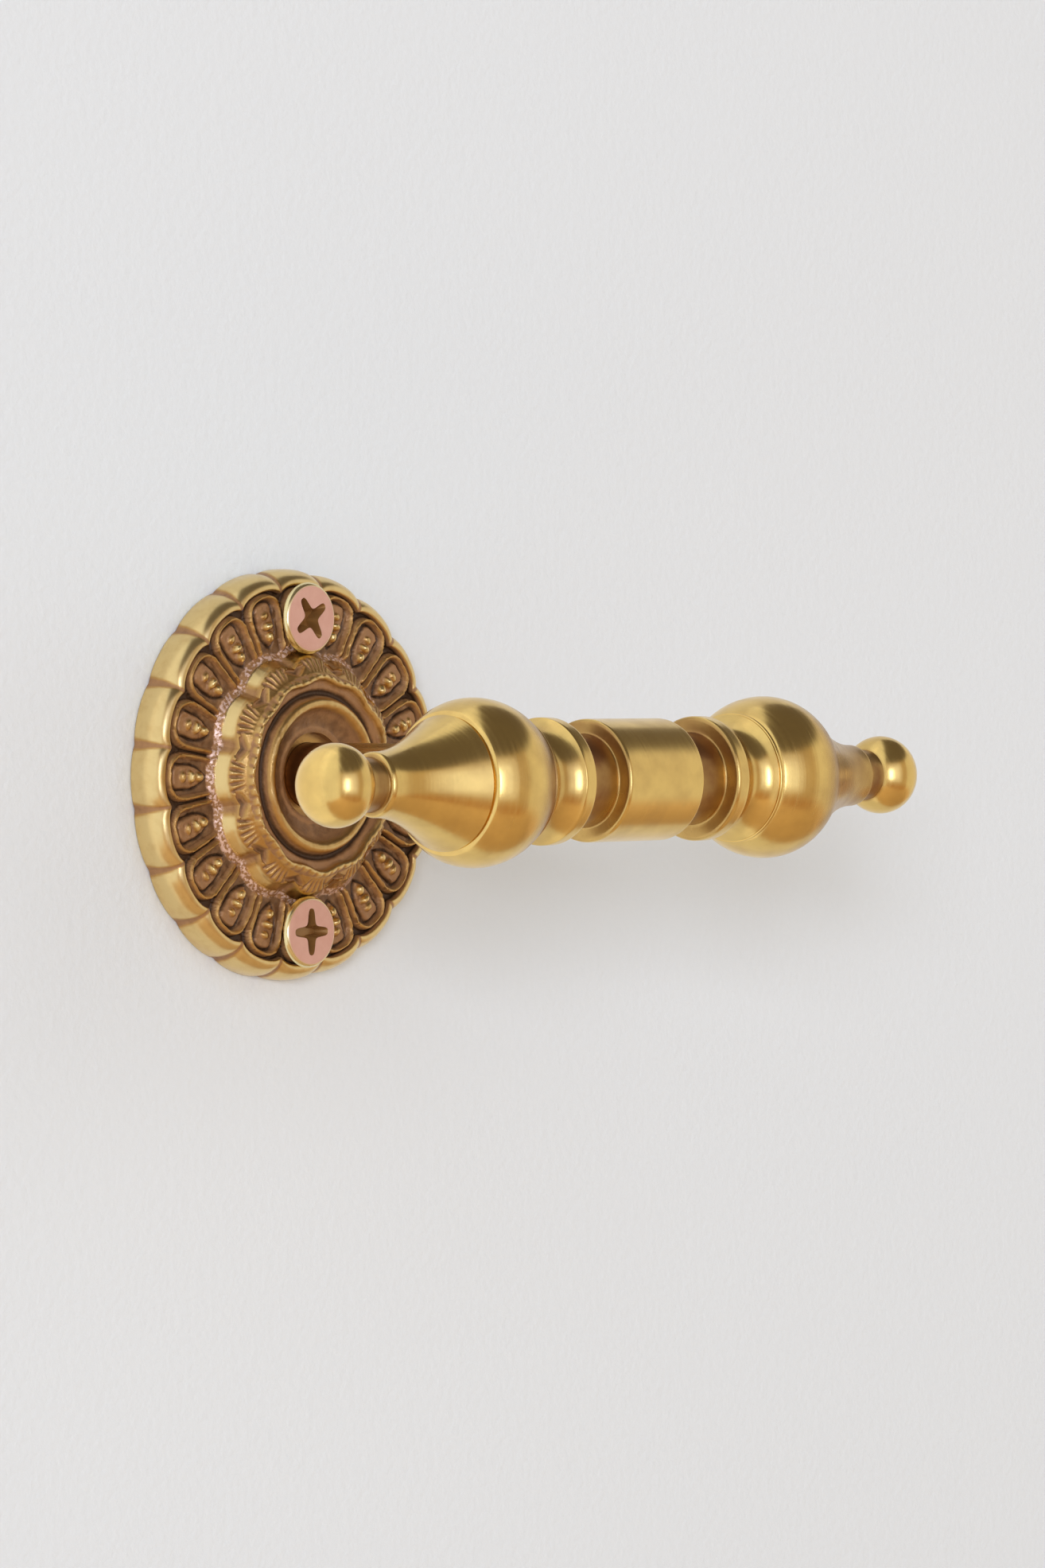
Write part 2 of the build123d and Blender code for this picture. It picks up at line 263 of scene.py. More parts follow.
def plate_grid():
    """Points of the closed casting: rows run round its section, columns round its centre.
    The rim's rows are an upright wall and a quarter ellipse that the notches cut deeper towards the front;
    the rows of the field start from the rim's inner edge and bend to follow the collar's lobes."""
    angle = np.linspace(0, 2 * np.pi, plate_columns, endpoint=False)
    turn = np.radians(np.linspace(0, 84, 13))[:, None]
    quarter = np.hstack([rim_round * (1 - np.cos(turn)), rim_wall + (rim_height - rim_wall) * np.sin(turn)])
    rim = np.vstack([
        [(0.05, 0.08), (0.0, 0.3), (0.0, 0.75)], quarter,
        [(1.66, rim_height), (1.83, 4.17), (1.94, 4.05), (rim_edge, 3.8)],
    ])
    inset, rim_heights = rim[:, :1], rim[:, 1:]
    notch = rim_notch_back + (rim_notch_front - rim_notch_back) * rim_heights / rim_height
    rim_radius = plate_radius - inset - notch * scallop(angle)

    field = np.concatenate([
        np.linspace(22.94, 16.1, 46), np.linspace(15.95, 15.2, 6), np.linspace(15.1, 14.35, 11),
        np.linspace(14.25, 12.4, 14), np.linspace(12.25, hollow_radius, 36),
    ])[:, None]
    follow_rim = 1 - ease(plate_radius - field, 2.05, 4.6)
    follow_collar = 1 - ease(np.abs(field - collar_radius), 0.6, 2.1)
    field_radius = field - follow_rim * rim_notch_front * scallop(angle)
    field_radius = field_radius + follow_collar * (collar_outline(angle) - collar_radius)
    field_heights, _ = field_relief(field_radius, angle)

    inside_and_back = np.array([
        (hollow_radius, socket_mouth), (socket_radius, socket_mouth), (socket_radius, socket_floor),
        (stem_screw_bore, socket_floor), (stem_screw_bore, stem_screw_cone),
        (stem_screw_head, stem_screw_sunk), (stem_screw_head, 0.0),
        (9.0, 0.0), (14.0, 0.0), (19.0, 0.0), (24.0, 0.0), (plate_radius - 0.25, 0.0),
    ])
    follow_back = ease(inside_and_back[:, :1], 20.0, plate_radius - 0.25)
    back_radius = inside_and_back[:, :1] - follow_back * rim_notch_back * scallop(angle)

    radius = np.vstack([rim_radius, field_radius, back_radius])
    height = np.vstack([
        np.repeat(rim_heights, plate_columns, axis=1), field_heights,
        np.repeat(inside_and_back[:, 1:], plate_columns, axis=1),
    ])
    return np.stack([radius * np.sin(angle), -height, radius * np.cos(angle)], axis=-1)


def skin(name, points, closed):
    """Mesh object on a grid of points in millimetres, whose columns meet round the piece.
    Its rows meet too if closed; if not, each end row is drawn to a pole at its mean point."""
    rows, columns = points.shape[:2]
    index = np.arange(rows * columns).reshape(rows, columns)
    lower = index if closed else index[:-1]
    upper = np.roll(index, -1, axis=0) if closed else index[1:]
    quads = np.stack([lower, np.roll(lower, -1, 1), np.roll(upper, -1, 1), upper], axis=-1).reshape(-1, 4)
    vertices = points.reshape(-1, 3)
    caps = np.empty((0, 3), dtype=int)
    if not closed:
        vertices = np.vstack([vertices, points[0].mean(axis=0), points[-1].mean(axis=0)])
        first, last = index[0], index[-1]
        start_pole = np.full(columns, rows * columns)
        start_cap = np.stack([np.roll(first, -1), first, start_pole], axis=-1)
        end_cap = np.stack([last, np.roll(last, -1), start_pole + 1], axis=-1)
        caps = np.vstack([start_cap, end_cap])
    corner, across, opposite, back = (vertices[quads[:, place]] for place in range(4))
    outward = np.cross(opposite - corner, back - across)
    if np.sum((corner - vertices.mean(axis=0)) * outward) < 0:
        quads, caps = quads[:, ::-1], caps[:, ::-1]
    mesh = bpy.data.meshes.new(name)
    mesh.from_pydata((vertices * mm).tolist(), [], quads.tolist() + caps.tolist())
    piece = bpy.data.objects.new(name, mesh)
    bpy.context.collection.objects.link(piece)
    return piece


def turn_profile(profile, centre, axis, columns):
    """Grid of a turned surface: each (along, radius) of the profile is a circle round an axis by a centre."""
    profile = np.asarray(profile, dtype=float)
    angle = np.linspace(0, 2 * np.pi, columns, endpoint=False)
    axis = np.asarray(axis, dtype=float)
    side = np.array([0.0, 0.0, 1.0])
    other = np.cross(axis, side)
    ring = np.cos(angle)[:, None] * side + np.sin(angle)[:, None] * other
    along = profile[:, 0][:, None, None] * axis
    return np.asarray(centre) + along + profile[:, 1][:, None, None] * ring


def carve(piece, cutter):
    """Cuts the cutter out of the piece once and keeps the result as the piece's own mesh."""
    cut = piece.modifiers.new("cut", "BOOLEAN")
    cut.operation = "DIFFERENCE"
    cut.solver = "MANIFOLD"
    cut.object = cutter
    shaped = piece.evaluated_get(bpy.context.evaluated_depsgraph_get())
    result = bpy.data.meshes.new_from_object(shaped)
    piece.modifiers.clear()
    piece.data = result
    bpy.data.objects.remove(cutter)


def smooth(piece, sharp_degrees):
    """Smooth shading, with edges sharper than the given angle kept crisp."""
    mesh = piece.data
    mesh.polygons.foreach_set("use_smooth", np.ones(len(mesh.polygons), dtype=bool))
    mesh.set_sharp_from_angle(angle=np.radians(sharp_degrees))


def places(piece):
    """Vertex positions of a piece in millimetres, one row each."""
    flat = np.empty(len(piece.data.vertices) * 3)
    piece.data.vertices.foreach_get("co", flat)
    return flat.reshape(-1, 3) / mm


def paint(piece, name, values):
    """Stores one number per vertex under a name that a material can read."""
    layer = piece.data.attributes.new(name, "FLOAT", "POINT")
    layer.data.foreach_set("value", np.asarray(values, dtype=np.float32))


def colour(code):
    """Linear RGBA of an sRGB hex colour."""
    srgb = np.array([int(code[place:place + 2], 16) / 255 for place in (1, 3, 5)])
    linear = np.where(srgb <= 0.04045, srgb / 12.92, ((srgb + 0.055) / 1.055) ** 2.4)
    return (*linear.tolist(), 1.0)


def dress(piece, material):
    """Gives a piece one material in place of those that it has."""
    piece.data.materials.clear()
    piece.data.materials.append(material)


def new_material(name):
    """A new material, its node tree and the shader in it."""
    material = bpy.data.materials.new(name)
    material.use_nodes = True
    return material, material.node_tree, material.node_tree.nodes["Principled BSDF"]


def add(tree, kind, inputs=None, **settings):
    """Adds a shader node with its settings; an input is a value to set or a socket to link.
    A Mix node's inputs go by number: 0 is its share, 2 and 3 are its numbers, 6 and 7 its colours."""
    node = tree.nodes.new("ShaderNode" + kind)
    for name, value in settings.items():
        setattr(node, name, value)
    for name, value in (inputs or {}).items():
        if isinstance(value, bpy.types.NodeSocket):
            tree.links.new(value, node.inputs[name])
        else:
            node.inputs[name].default_value = value
    return node


def cast_brass():
    """Patinated cast brass: a soft brown oxide with a sandy grain, nearly black in its grooves as dark oxide
    with painted shade, paler where cloths rub the ridges, polished on the rim, and with pale pink glints
    painted into the colour on the collar's rough foot."""
    material, tree, shader = new_material("patinated cast brass")
    brown_oxide, tan_oxide, grime_and_shade = colour("#88603f"), colour("#b5895b"), colour("#46301e")
    rubbed_brass, bare_brass, painted_pink_glint = colour("#c79d5e"), colour("#e7cb8d"), colour("#efcfc0")
    blotches = 1 / (1.3 * mm)
    grains = 1 / (0.4 * mm)
    where = add(tree, "TexCoord").outputs["Object"]
    wear_and_shading = add(tree, "Attribute", attribute_name="wear_and_shading").outputs["Fac"]
    flush_and_glint = add(tree, "Attribute", attribute_name="flush_and_glint").outputs["Fac"]
    blotch = add(tree, "TexNoise", {"Vector": where, "Scale": blotches, "Detail": 4.0}).outputs["Fac"]
    grain = add(tree, "TexNoise", {"Vector": where, "Scale": grains, "Detail": 3.0}).outputs["Fac"]
    uneven = add(tree, "Math", {0: blotch, 1: 0.4, 2: wear_and_shading}, operation="MULTIPLY_ADD").outputs[0]
    rubbed = add(tree, "MapRange", {"Value": uneven, "From Min": 0.26, "From Max": 0.65}).outputs["Result"]
    bare = add(tree, "MapRange", {"Value": uneven, "From Min": 0.65, "From Max": 1.05}).outputs["Result"]
    # Grooves and hollows go near black: partly the casting's dark oxide, partly painted shade.
    dirt_and_shade = add(tree, "MapRange", {"Value": uneven, "From Min": 0.12, "From Max": -0.32}).outputs["Result"]
    oxide = add(tree, "Mix", {0: blotch, 6: brown_oxide, 7: tan_oxide}, data_type="RGBA").outputs[2]
    grimed_and_shaded = add(tree, "Mix", {0: dirt_and_shade, 6: oxide, 7: grime_and_shade}, data_type="RGBA").outputs[2]
    paler = add(tree, "Mix", {0: rubbed, 6: grimed_and_shaded, 7: rubbed_brass}, data_type="RGBA").outputs[2]
    metal = add(tree, "Mix", {0: bare, 6: paler, 7: bare_brass}, data_type="RGBA").outputs[2]
    # Painted glints: on the collar's rough foot the colour turns pale pink where the grain peaks, with a low
    # roughness.
    bright = add(tree, "MapRange", {"Value": grain, "From Min": 0.47, "From Max": 0.57}).outputs["Result"]
    painted_glint = add(tree, "Math", {0: bright, 1: flush_and_glint}, operation="MULTIPLY").outputs[0]
    tint = add(tree, "Mix", {0: painted_glint, 6: metal, 7: painted_pink_glint}, data_type="RGBA").outputs[2]
    polish = add(tree, "MapRange", {"Value": uneven, "From Min": 0.2}).outputs["Result"]
    satin = add(tree, "MapRange", {"Value": polish, "To Min": 0.42, "To Max": 0.28}).outputs["Result"]
    rough = add(tree, "Mix", {0: painted_glint, 2: satin, 3: 0.2}).outputs[0]
    metallic = add(tree, "MapRange", {"Value": rubbed, "To Min": 0.4, "To Max": 1.0}).outputs["Result"]
    sand = add(tree, "MapRange", {"Value": polish, "To Min": 0.5, "To Max": 0.03}).outputs["Result"]
    bump = add(tree, "Bump", {"Height": grain, "Strength": sand, "Distance": 0.12 * mm}).outputs["Normal"]
    tree.links.new(tint, shader.inputs["Base Color"])
    tree.links.new(rough, shader.inputs["Roughness"])
    tree.links.new(metallic, shader.inputs["Metallic"])
    tree.links.new(bump, shader.inputs["Normal"])
    return material


screw_spacing = 38.0
screw_bore = 2.35
screw_cone = 3.19
screw_mouth = 4.45
screw_mouth_height = 5.4

plate = skin("rosette_plate", plate_grid(), closed=True)
hole_profile = [
    (1.0, screw_bore), (-screw_cone, screw_bore), (-screw_mouth_height, screw_mouth), (-9.0, screw_mouth),
]
for side in (1, -1):
    hole_centre = (0, 0, side * screw_spacing / 2)
    carve(plate, skin("screw_hole", turn_profile(hole_profile, hole_centre, plate_axis, 96), closed=False))
smooth(plate, 65)
spot = places(plate)
spot_radius = np.hypot(spot[:, 0], spot[:, 2])
spot_angle = np.arctan2(spot[:, 0], spot[:, 2])
_, field_wear_and_shading = field_relief(spot_radius, spot_angle)
seam = petal_half_angle * spot_radius - np.abs(repeat(spot_angle, petal_half_angle)) * spot_radius
beyond = spot_radius - rim_front(spot_angle)
# The rim is polished except at its inner edge and in a band round each notch, widest at the back, where it is
# darker.
notch_dark_reach = 0.2 + 0.6 * (1 - np.clip(-spot[:, 1] / rim_height, 0, 1))
rim_tone = -0.05 + 0.88 * ease(seam / notch_dark_reach, 0.3, 1.5) * ease(beyond, 0.02, 0.2)
front_wear_and_shading = np.where(beyond > -0.01, rim_tone, field_wear_and_shading)
ground_back = spot[:, 1] > -0.5
# The rough foot's mask also places the painted pink glints.
rough_foot = mound(collar_outline(spot_angle) - spot_radius + 1.05, 0.55)
# The wear attribute holds rubbing and polish together with painted shade in the recesses and painted light in
# the central hollow.
paint(plate, "wear_and_shading", np.where(ground_back & (beyond < 1.7), 0.5, front_wear_and_shading))
paint(plate, "flush_and_glint", np.where(ground_back, 0, rough_foot))
dress(plate, cast_brass())
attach(plate, "root")
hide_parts("backplate")


# Stem: a plain turned brass rod from the rosette's hollow to the back of the bar.
# It stands in a socket, is drawn down by a screw from behind, and ends in a threaded spigot.

stem_radius = 3.95
stem_chamfer = 0.2
stem_top = 50.5
spigot_radius = 2.5
spigot_chamfer = 0.5
spigot_top = 58.5
tap_radius = 2.55
tap_end = 16.8
stem_profile = [
    (-socket_floor, tap_radius), (-socket_floor, stem_radius - stem_chamfer),
    (-socket_floor - stem_chamfer, stem_radius), (-20.0, stem_radius), (-35.0, stem_radius),
    (-stem_top, stem_radius), (-stem_top, spigot_radius),
    (-spigot_top + spigot_chamfer, spigot_radius), (-spigot_top, spigot_radius - spigot_chamfer),
]


def turned_brass():
    """Turned brass, polished: a clear mirror with faint rings left by the tool, and a dull brown film
    where a cloth doesn't reach; the same film is also painted on as shade where the bar's reflections run
    dark.
    The rings are drawn a little coarser than real ones, which wouldn't show."""
    material, tree, shader = new_material("polished turned brass")
    clean_brass, brown_film_and_shade = colour("#eac87a"), colour("#885c36")
    ring_pitch = 0.3 * mm
    ring_reach = 30 * mm
    ring_scale = (1 / ring_pitch, 1 / ring_reach, 1 / ring_reach)
    blotches = 1 / (3 * mm)
    where = add(tree, "TexCoord").outputs["Object"]
    tarnish_and_shade = add(tree, "Attribute", attribute_name="tarnish_and_shade").outputs["Fac"]
    stretched = add(tree, "Mapping", {"Vector": where, "Scale": ring_scale}).outputs["Vector"]
    rings = add(tree, "TexNoise", {"Vector": stretched, "Scale": 1.0, "Detail": 2.0}).outputs["Fac"]
    blotch = add(tree, "TexNoise", {"Vector": where, "Scale": blotches, "Detail": 5.0}).outputs["Fac"]
    dull = add(tree, "Math", {0: blotch, 1: 0.6, 2: tarnish_and_shade}, operation="MULTIPLY_ADD").outputs[0]
    film_and_shade = add(tree, "MapRange", {"Value": dull, "From Min": 0.24, "From Max": 1.1}).outputs["Result"]
    metal = add(tree, "Mix", {0: film_and_shade, 6: clean_brass, 7: brown_film_and_shade}, data_type="RGBA").outputs[2]
    satin = add(tree, "MapRange", {"Value": rings, "To Min": 0.1, "To Max": 0.32}).outputs["Result"]
    rough = add(tree, "Math", {0: film_and_shade, 1: 0.14, 2: satin}, operation="MULTIPLY_ADD").outputs[0]
    metallic = add(tree, "MapRange", {"Value": film_and_shade, "To Min": 1.0, "To Max": 0.93}).outputs["Result"]
    bump = add(tree, "Bump", {"Height": rings, "Strength": 0.15, "Distance": 0.05 * mm}).outputs["Normal"]
    tree.links.new(metal, shader.inputs["Base Color"])
    tree.links.new(rough, shader.inputs["Roughness"])
    tree.links.new(metallic, shader.inputs["Metallic"])
    tree.links.new(bump, shader.inputs["Normal"])
    return material


polished_brass = turned_brass()
stem = skin("round_stem", turn_profile(stem_profile, (0, 0, 0), plate_axis, 128), closed=False)
tap_profile = [(-socket_floor + 1.0, tap_radius), (-tap_end, tap_radius)]
carve(stem, skin("stem_tap", turn_profile(tap_profile, (0, 0, 0), plate_axis, 96), closed=False))
smooth(stem, 35)
paint(stem, "tarnish_and_shade", 0.3 + 0.6 * ease(-places(stem)[:, 1], 20.0, 6.0))
dress(stem, polished_brass)
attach(stem, "root")
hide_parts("stem")


# Stem screw: a countersunk steel machine screw, sunk just below the plate's ground back.
# It draws the stem down into its socket and is hidden once the hook is put up.


def plain_steel():
    """Machine-screw steel, turned and left plain: grey, with small dull patches from handling."""
    material, tree, shader = new_material("plain turned steel")
    dull_grey, clean_grey = colour("#8e8c88"), colour("#c4c2bd")
    patches = 1 / (0.8 * mm)
    where = add(tree, "TexCoord").outputs["Object"]
    patch = add(tree, "TexNoise", {"Vector": where, "Scale": patches, "Detail": 4.0}).outputs["Fac"]
    metal = add(tree, "Mix", {0: patch, 6: dull_grey, 7: clean_grey}, data_type="RGBA").outputs[2]
    rough = add(tree, "MapRange", {"Value": patch, "To Min": 0.42, "To Max": 0.26}).outputs["Result"]
    tree.links.new(metal, shader.inputs["Base Color"])
    tree.links.new(rough, shader.inputs["Roughness"])
    shader.inputs["Metallic"].default_value = 1.0
    return material


stem_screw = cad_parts["stem_screw"]
dress(stem_screw, plain_steel())


# Crossbar: one turned brass bar, the part that a towel hangs on. From its plain barrel it steps
# on each side through a groove, a band, a cove, a bulb, a flared bell and a neck to a ball end.
# The barrel's back is bored and tapped for the stem.

bar_centre = (0, -55.6, 0)
bar_axis = (1, 0, 0)
barrel_half = 6.6
barrel_radius = 7.1
barrel_edge = 0.45
groove_end = 12.4
groove_radius = 5.35
groove_fillet = 0.25
band_end = 14.25
band_radius = 7.3
band_edge = 0.5
bulb_start = (20.1, 7.72)
bulb_crown = (25.6, 9.6)
bulb_end = (30.0, 8.2)
bell_start = (30.53, 7.67)
bell_tip = 41.7
bell_tip_radius = 3.68
bell_lip = (0.7, 0.55)
neck_start = 42.8
neck_radius = 3.05
ball_radius = 4.7
ball_place = 47.95
ball_half_length = 4.1
bar_socket_radius = 4.0
spigot_clearance = 0.6


def arc(centre, radius, start, finish, count):
    """Points on a circle from one angle in degrees to another; radii along and across make an ellipse."""
    angle = np.radians(np.linspace(start, finish, count))
    along, across = np.broadcast_to(radius, 2)
    return np.stack([centre[0] + along * np.cos(angle), centre[1] + across * np.sin(angle)], axis=-1)


def curve(points, count):
    """Points on the Bezier curve of two, three or four control points, by repeated straight-line blending."""
    t = np.linspace(0, 1, count)[:, None]
    level = [np.asarray(point, dtype=float) * np.ones_like(t) for point in points]
    while len(level) > 1:
        level = [low * (1 - t) + high * t for low, high in zip(level, level[1:])]
    return level[0]


def level_arc(level, end, count):
    """Points on the circle that runs parallel to the axis at one point and passes through another."""
    reach, drop = end[0] - level[0], level[1] - end[1]
    radius = (reach**2 + drop**2) / (2 * drop)
    turn = np.degrees(np.arctan2(abs(reach), radius - drop))
    return arc((level[0], level[1] - radius), radius, 90, 90 - np.sign(reach) * turn, count)


groove_corner = groove_radius + groove_fillet
barrel_profile = np.vstack([
    curve([(0.0, barrel_radius), (barrel_half - barrel_edge, barrel_radius)], 5),
    arc((barrel_half - barrel_edge, barrel_radius - barrel_edge), barrel_edge, 88, 0, 7),
])
groove_profile = np.vstack([
    curve([(barrel_half, 6.4), (barrel_half, groove_corner)], 3),
    arc((barrel_half + groove_fillet, groove_corner), groove_fillet, 190, 270, 4),
    curve([(barrel_half + 0.5, groove_radius), (groove_end - 0.5, groove_radius)], 5),
    arc((groove_end - groove_fillet, groove_corner), groove_fillet, 280, 360, 4),
])
band_profile = np.vstack([
    curve([(groove_end, 5.9), (groove_end, band_radius - band_edge)], 3),
    arc((groove_end + band_edge, band_radius - band_edge), band_edge, 175, 92, 7),
    curve([(groove_end + 0.7, band_radius), (band_end, band_radius)], 4),
])
cove_profile = np.vstack([
    curve([(14.36, 7.27), (14.45, 7.18), (17.0, 4.05), (19.5, 7.4)], 22),
    curve([(19.58, 7.48), (19.66, 7.42)], 2),
    arc((19.85, 7.5), 0.2, 170, 60, 6),
    curve([(20.0, 7.62), (20.06, 7.64)], 2),
])
bulb_profile = np.vstack([
    level_arc(bulb_crown, bulb_start, 18)[::-1],
    level_arc(bulb_crown, bulb_end, 16)[1:],
    curve([(30.12, 8.1), (30.22, 7.98), (30.28, 7.48)], 5),
    curve([(30.36, 7.42), (30.44, 7.62)], 2),
])
bell_profile = np.vstack([
    curve([bell_start, (33.4, 6.1), (37.47, bell_tip_radius), (bell_tip, bell_tip_radius)], 26),
    arc((bell_tip + 0.05, bell_tip_radius - bell_lip[1]), bell_lip, 86, 6, 9),
])
neck_profile = np.vstack([
    curve([(42.46, 3.12), (42.5, neck_radius), (neck_start, neck_radius)], 4),
    curve([(43.3, neck_radius), (44.7, neck_radius)], 3),
])
ball_profile = arc((ball_place, 0), (ball_half_length, ball_radius), 139.3, 0.5, 40)
half_profile = np.vstack([
    barrel_profile, groove_profile, band_profile, cove_profile,
    bulb_profile, bell_profile, neck_profile, ball_profile,
])
bar_profile = np.vstack([half_profile[::-1] * (-1, 1), half_profile[1:]])
bar = skin("turned_crossbar", turn_profile(bar_profile, bar_centre, bar_axis, 192), closed=False)
socket_profile = [
    (-40.0, bar_socket_radius), (-stem_top, bar_socket_radius),
    (-stem_top, tap_radius), (-spigot_top - spigot_clearance, tap_radius),
]
carve(bar, skin("stem_socket", turn_profile(socket_profile, (0, 0, 0), plate_axis, 96), closed=False))
smooth(bar, 40)
bar_spot = places(bar)
to_right = bar_spot[:, 0]
along_bar = np.abs(to_right)
# The grooves carry tarnish, and more of it towards their tops as painted shade.
in_groove = (0.62 + 0.38 * ease(bar_spot[:, 2], 0.5, 4.5)) * mound(along_bar - 9.5, 3.1) ** 0.3
in_cove = 0.15 * mound(along_bar - 16.2, 1.9)
in_neck = 0.65 * mound(along_bar - 43.6, 1.3) ** 0.3
# Painted shade and reflection: the brown film covers the far bell and the right-hand half of each bulb, where
# their reflections run dark.
far_bell_shade = 0.42 * ease(to_right, 30.4, 30.7) * ease(to_right, 44.8, 44.6)
near_bulb_shade = 0.65 * ease(to_right, -24.5, -21.0) * ease(to_right, -19.6, -20.0)
far_bulb_shade = 0.5 * ease(to_right, 24.5, 29.5) * ease(to_right, 30.5, 30.2)
paint(bar, "tarnish_and_shade", np.maximum.reduce([in_groove, in_cove, in_neck, far_bell_shade, near_bulb_shade, far_bulb_shade]))
dress(bar, polished_brass)
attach(bar, "root")
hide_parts("crossbar")


# Wall screws: two countersunk steel wood screws with a cross recess, copper washed.
# They are driven through the plate's two holes, with the heads left a little proud.
# Their flat faces are a dull pink, and the rolled edge still shines like brass.

screw_columns = 48
screw_head_radius = 4.35
screw_top = 5.9
screw_length = 32.0
screw_edge = 0.6
screw_neck = 3.05
shank_radius = 2.1
thread_radius = 1.75
thread_core = 1.25
thread_pitch = 1.6
thread_taper = 6.0
recess_reach = 2.85
recess_wing = 1.2
recess_depth = 1.6
recess_turns = {1: 34.0, -1: 0.0}


def screw_grid(centre):
    """Turned screw whose thread is a ridge of radius that climbs one pitch a turn and fades at the point."""
    head = [
        (-screw_top, 3.6), (-screw_top, 3.85), (-screw_top + 0.06, 4.02), (-screw_top + 0.2, 4.18),
        (-screw_top + 0.4, 4.31), (-screw_top + screw_edge, screw_head_radius),
        (-screw_neck, shank_radius), (-1.0, shank_radius), (-0.05, shank_radius),
    ]
    tip = screw_length - screw_top
    along = np.linspace(0.0, tip - 0.05, 190)
    profile = np.vstack([head, np.stack([along, np.ones_like(along)], -1)])
    grid = turn_profile(profile, (0, 0, 0), plate_axis, screw_columns)
    turns = np.linspace(0, 1, screw_columns, endpoint=False)
    phase = (along[:, None] / thread_pitch - turns) % 1
    crest = mound(phase - 0.5, 0.3) * ease(along, 0.0, 1.2)[:, None]
    taper = np.clip((tip - along) / thread_taper, 0.02, 1)[:, None]
    radius = (thread_core + (thread_radius - thread_core) * crest) * taper
    grid[len(head):, :, (0, 2)] *= radius[..., None]
    return grid + np.asarray(centre)


def recess_grid(turn, centre):
    """Cross recess of four rounded arms that taper inwards.
    At each level 1/r^4 = 1/reach^4 + (sin 2a / wing)^4."""
    angle = np.linspace(0, 2 * np.pi, 96, endpoint=False)
    height = np.array([-screw_top - 0.5, -screw_top, -screw_top + 0.05, -screw_top + recess_depth])[:, None]
    reach = recess_reach * np.array([1.05, 1.0, 0.99, 0.7])[:, None]
    wing = recess_wing * np.array([1.1, 1.0, 0.99, 0.6])[:, None]
    radius = (reach**-4 + (np.abs(np.sin(2 * angle)) / wing) ** 4) ** -0.25
    across, up = radius * np.cos(angle + turn), radius * np.sin(angle + turn)
    return np.stack([across, height * np.ones_like(across), up], axis=-1) + np.asarray(centre)


def coppered_steel():
    """Copper-washed steel: a dull pink face, a brassy edge where the wash is thin,
    and brown walls in the recess, painted darker there as shade."""
    material, tree, shader = new_material("copper washed steel")
    deep_pink, pale_pink = colour("#d39d8a"), colour("#e4b7a5")
    bright_edge, pit_shade_brown = colour("#eddca6"), colour("#9a7140")
    blotches = 1 / (1.5 * mm)
    where = add(tree, "TexCoord").outputs["Object"]
    wash = add(tree, "Attribute", attribute_name="wash").outputs["Fac"]
    pit = add(tree, "Attribute", attribute_name="pit").outputs["Fac"]
    blotch = add(tree, "TexNoise", {"Vector": where, "Scale": blotches, "Detail": 4.0}).outputs["Fac"]
    pink = add(tree, "Mix", {0: blotch, 6: deep_pink, 7: pale_pink}, data_type="RGBA").outputs[2]
    brassy = add(tree, "Mix", {0: pit, 6: bright_edge, 7: pit_shade_brown}, data_type="RGBA").outputs[2]
    metal = add(tree, "Mix", {0: wash, 6: brassy, 7: pink}, data_type="RGBA").outputs[2]
    rough = add(tree, "MapRange", {"Value": wash, "To Min": 0.22, "To Max": 0.5}).outputs["Result"]
    matt = add(tree, "Math", {0: wash, 1: pit}, operation="MAXIMUM").outputs[0]
    metallic = add(tree, "MapRange", {"Value": matt, "To Min": 1.0, "To Max": 0.45}).outputs["Result"]
    tree.links.new(metal, shader.inputs["Base Color"])
    tree.links.new(rough, shader.inputs["Roughness"])
    tree.links.new(metallic, shader.inputs["Metallic"])
    return material


washed_steel = coppered_steel()
screw_pieces = []
for side, degrees in recess_turns.items():
    centre = (0, 0, side * screw_spacing / 2)
    screw = skin("wall_screw_upper" if side > 0 else "wall_screw_lower", screw_grid(centre), closed=False)
    carve(screw, skin("cross_recess", recess_grid(np.radians(degrees), centre), closed=False))
    smooth(screw, 35)
    screw_spot = places(screw)
    depth = screw_spot[:, 1] + screw_top
    from_axis = np.hypot(screw_spot[:, 0], screw_spot[:, 2] - centre[2])
    paint(screw, "wash", depth < 0.03)
    # Painted shade: the recess walls are marked for a duller brown than the edge.
    paint(screw, "pit", (depth > 0.03) & (depth < recess_depth + 0.1) & (from_axis < recess_reach))
    dress(screw, washed_steel)
    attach(screw, "root")
    screw_pieces.append(screw)
for screw in screw_pieces:
    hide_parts("wall_screws")


# Backdrop: a pale matt board behind the plate and a pale floor well below it.
# The board is see-through from its back and open where the plate covers it, so that the plate's
# own back is lit in views from behind.

board_y = 0.0001
room_half = 1.2
floor_z = -0.9
board_top = 0.13
opening = 0.0242
opening_points = 49


def pale_plaster(name, code, back_clear):
    """Painted plaster: near white, matt, with a faint roller texture; its back can be made clear."""
    material, tree, shader = new_material(name)
    stipples = 1 / (1.2 * mm)
    where = add(tree, "TexCoord").outputs["Object"]
    stipple = add(tree, "TexNoise", {"Vector": where, "Scale": stipples, "Detail": 3.0}).outputs["Fac"]
    bump = add(tree, "Bump", {"Height": stipple, "Strength": 0.35, "Distance": 0.3 * mm}).outputs["Normal"]
    tree.links.new(bump, shader.inputs["Normal"])
    shader.inputs["Base Color"].default_value = colour(code)
    shader.inputs["Roughness"].default_value = 0.8
    if back_clear:
        behind = add(tree, "NewGeometry").outputs["Backfacing"]
        clear = add(tree, "BsdfTransparent").outputs["BSDF"]
        both = add(tree, "MixShader", {0: behind, 1: shader.outputs["BSDF"], 2: clear}).outputs["Shader"]
        tree.links.new(both, tree.nodes["Material Output"].inputs["Surface"])
    return material


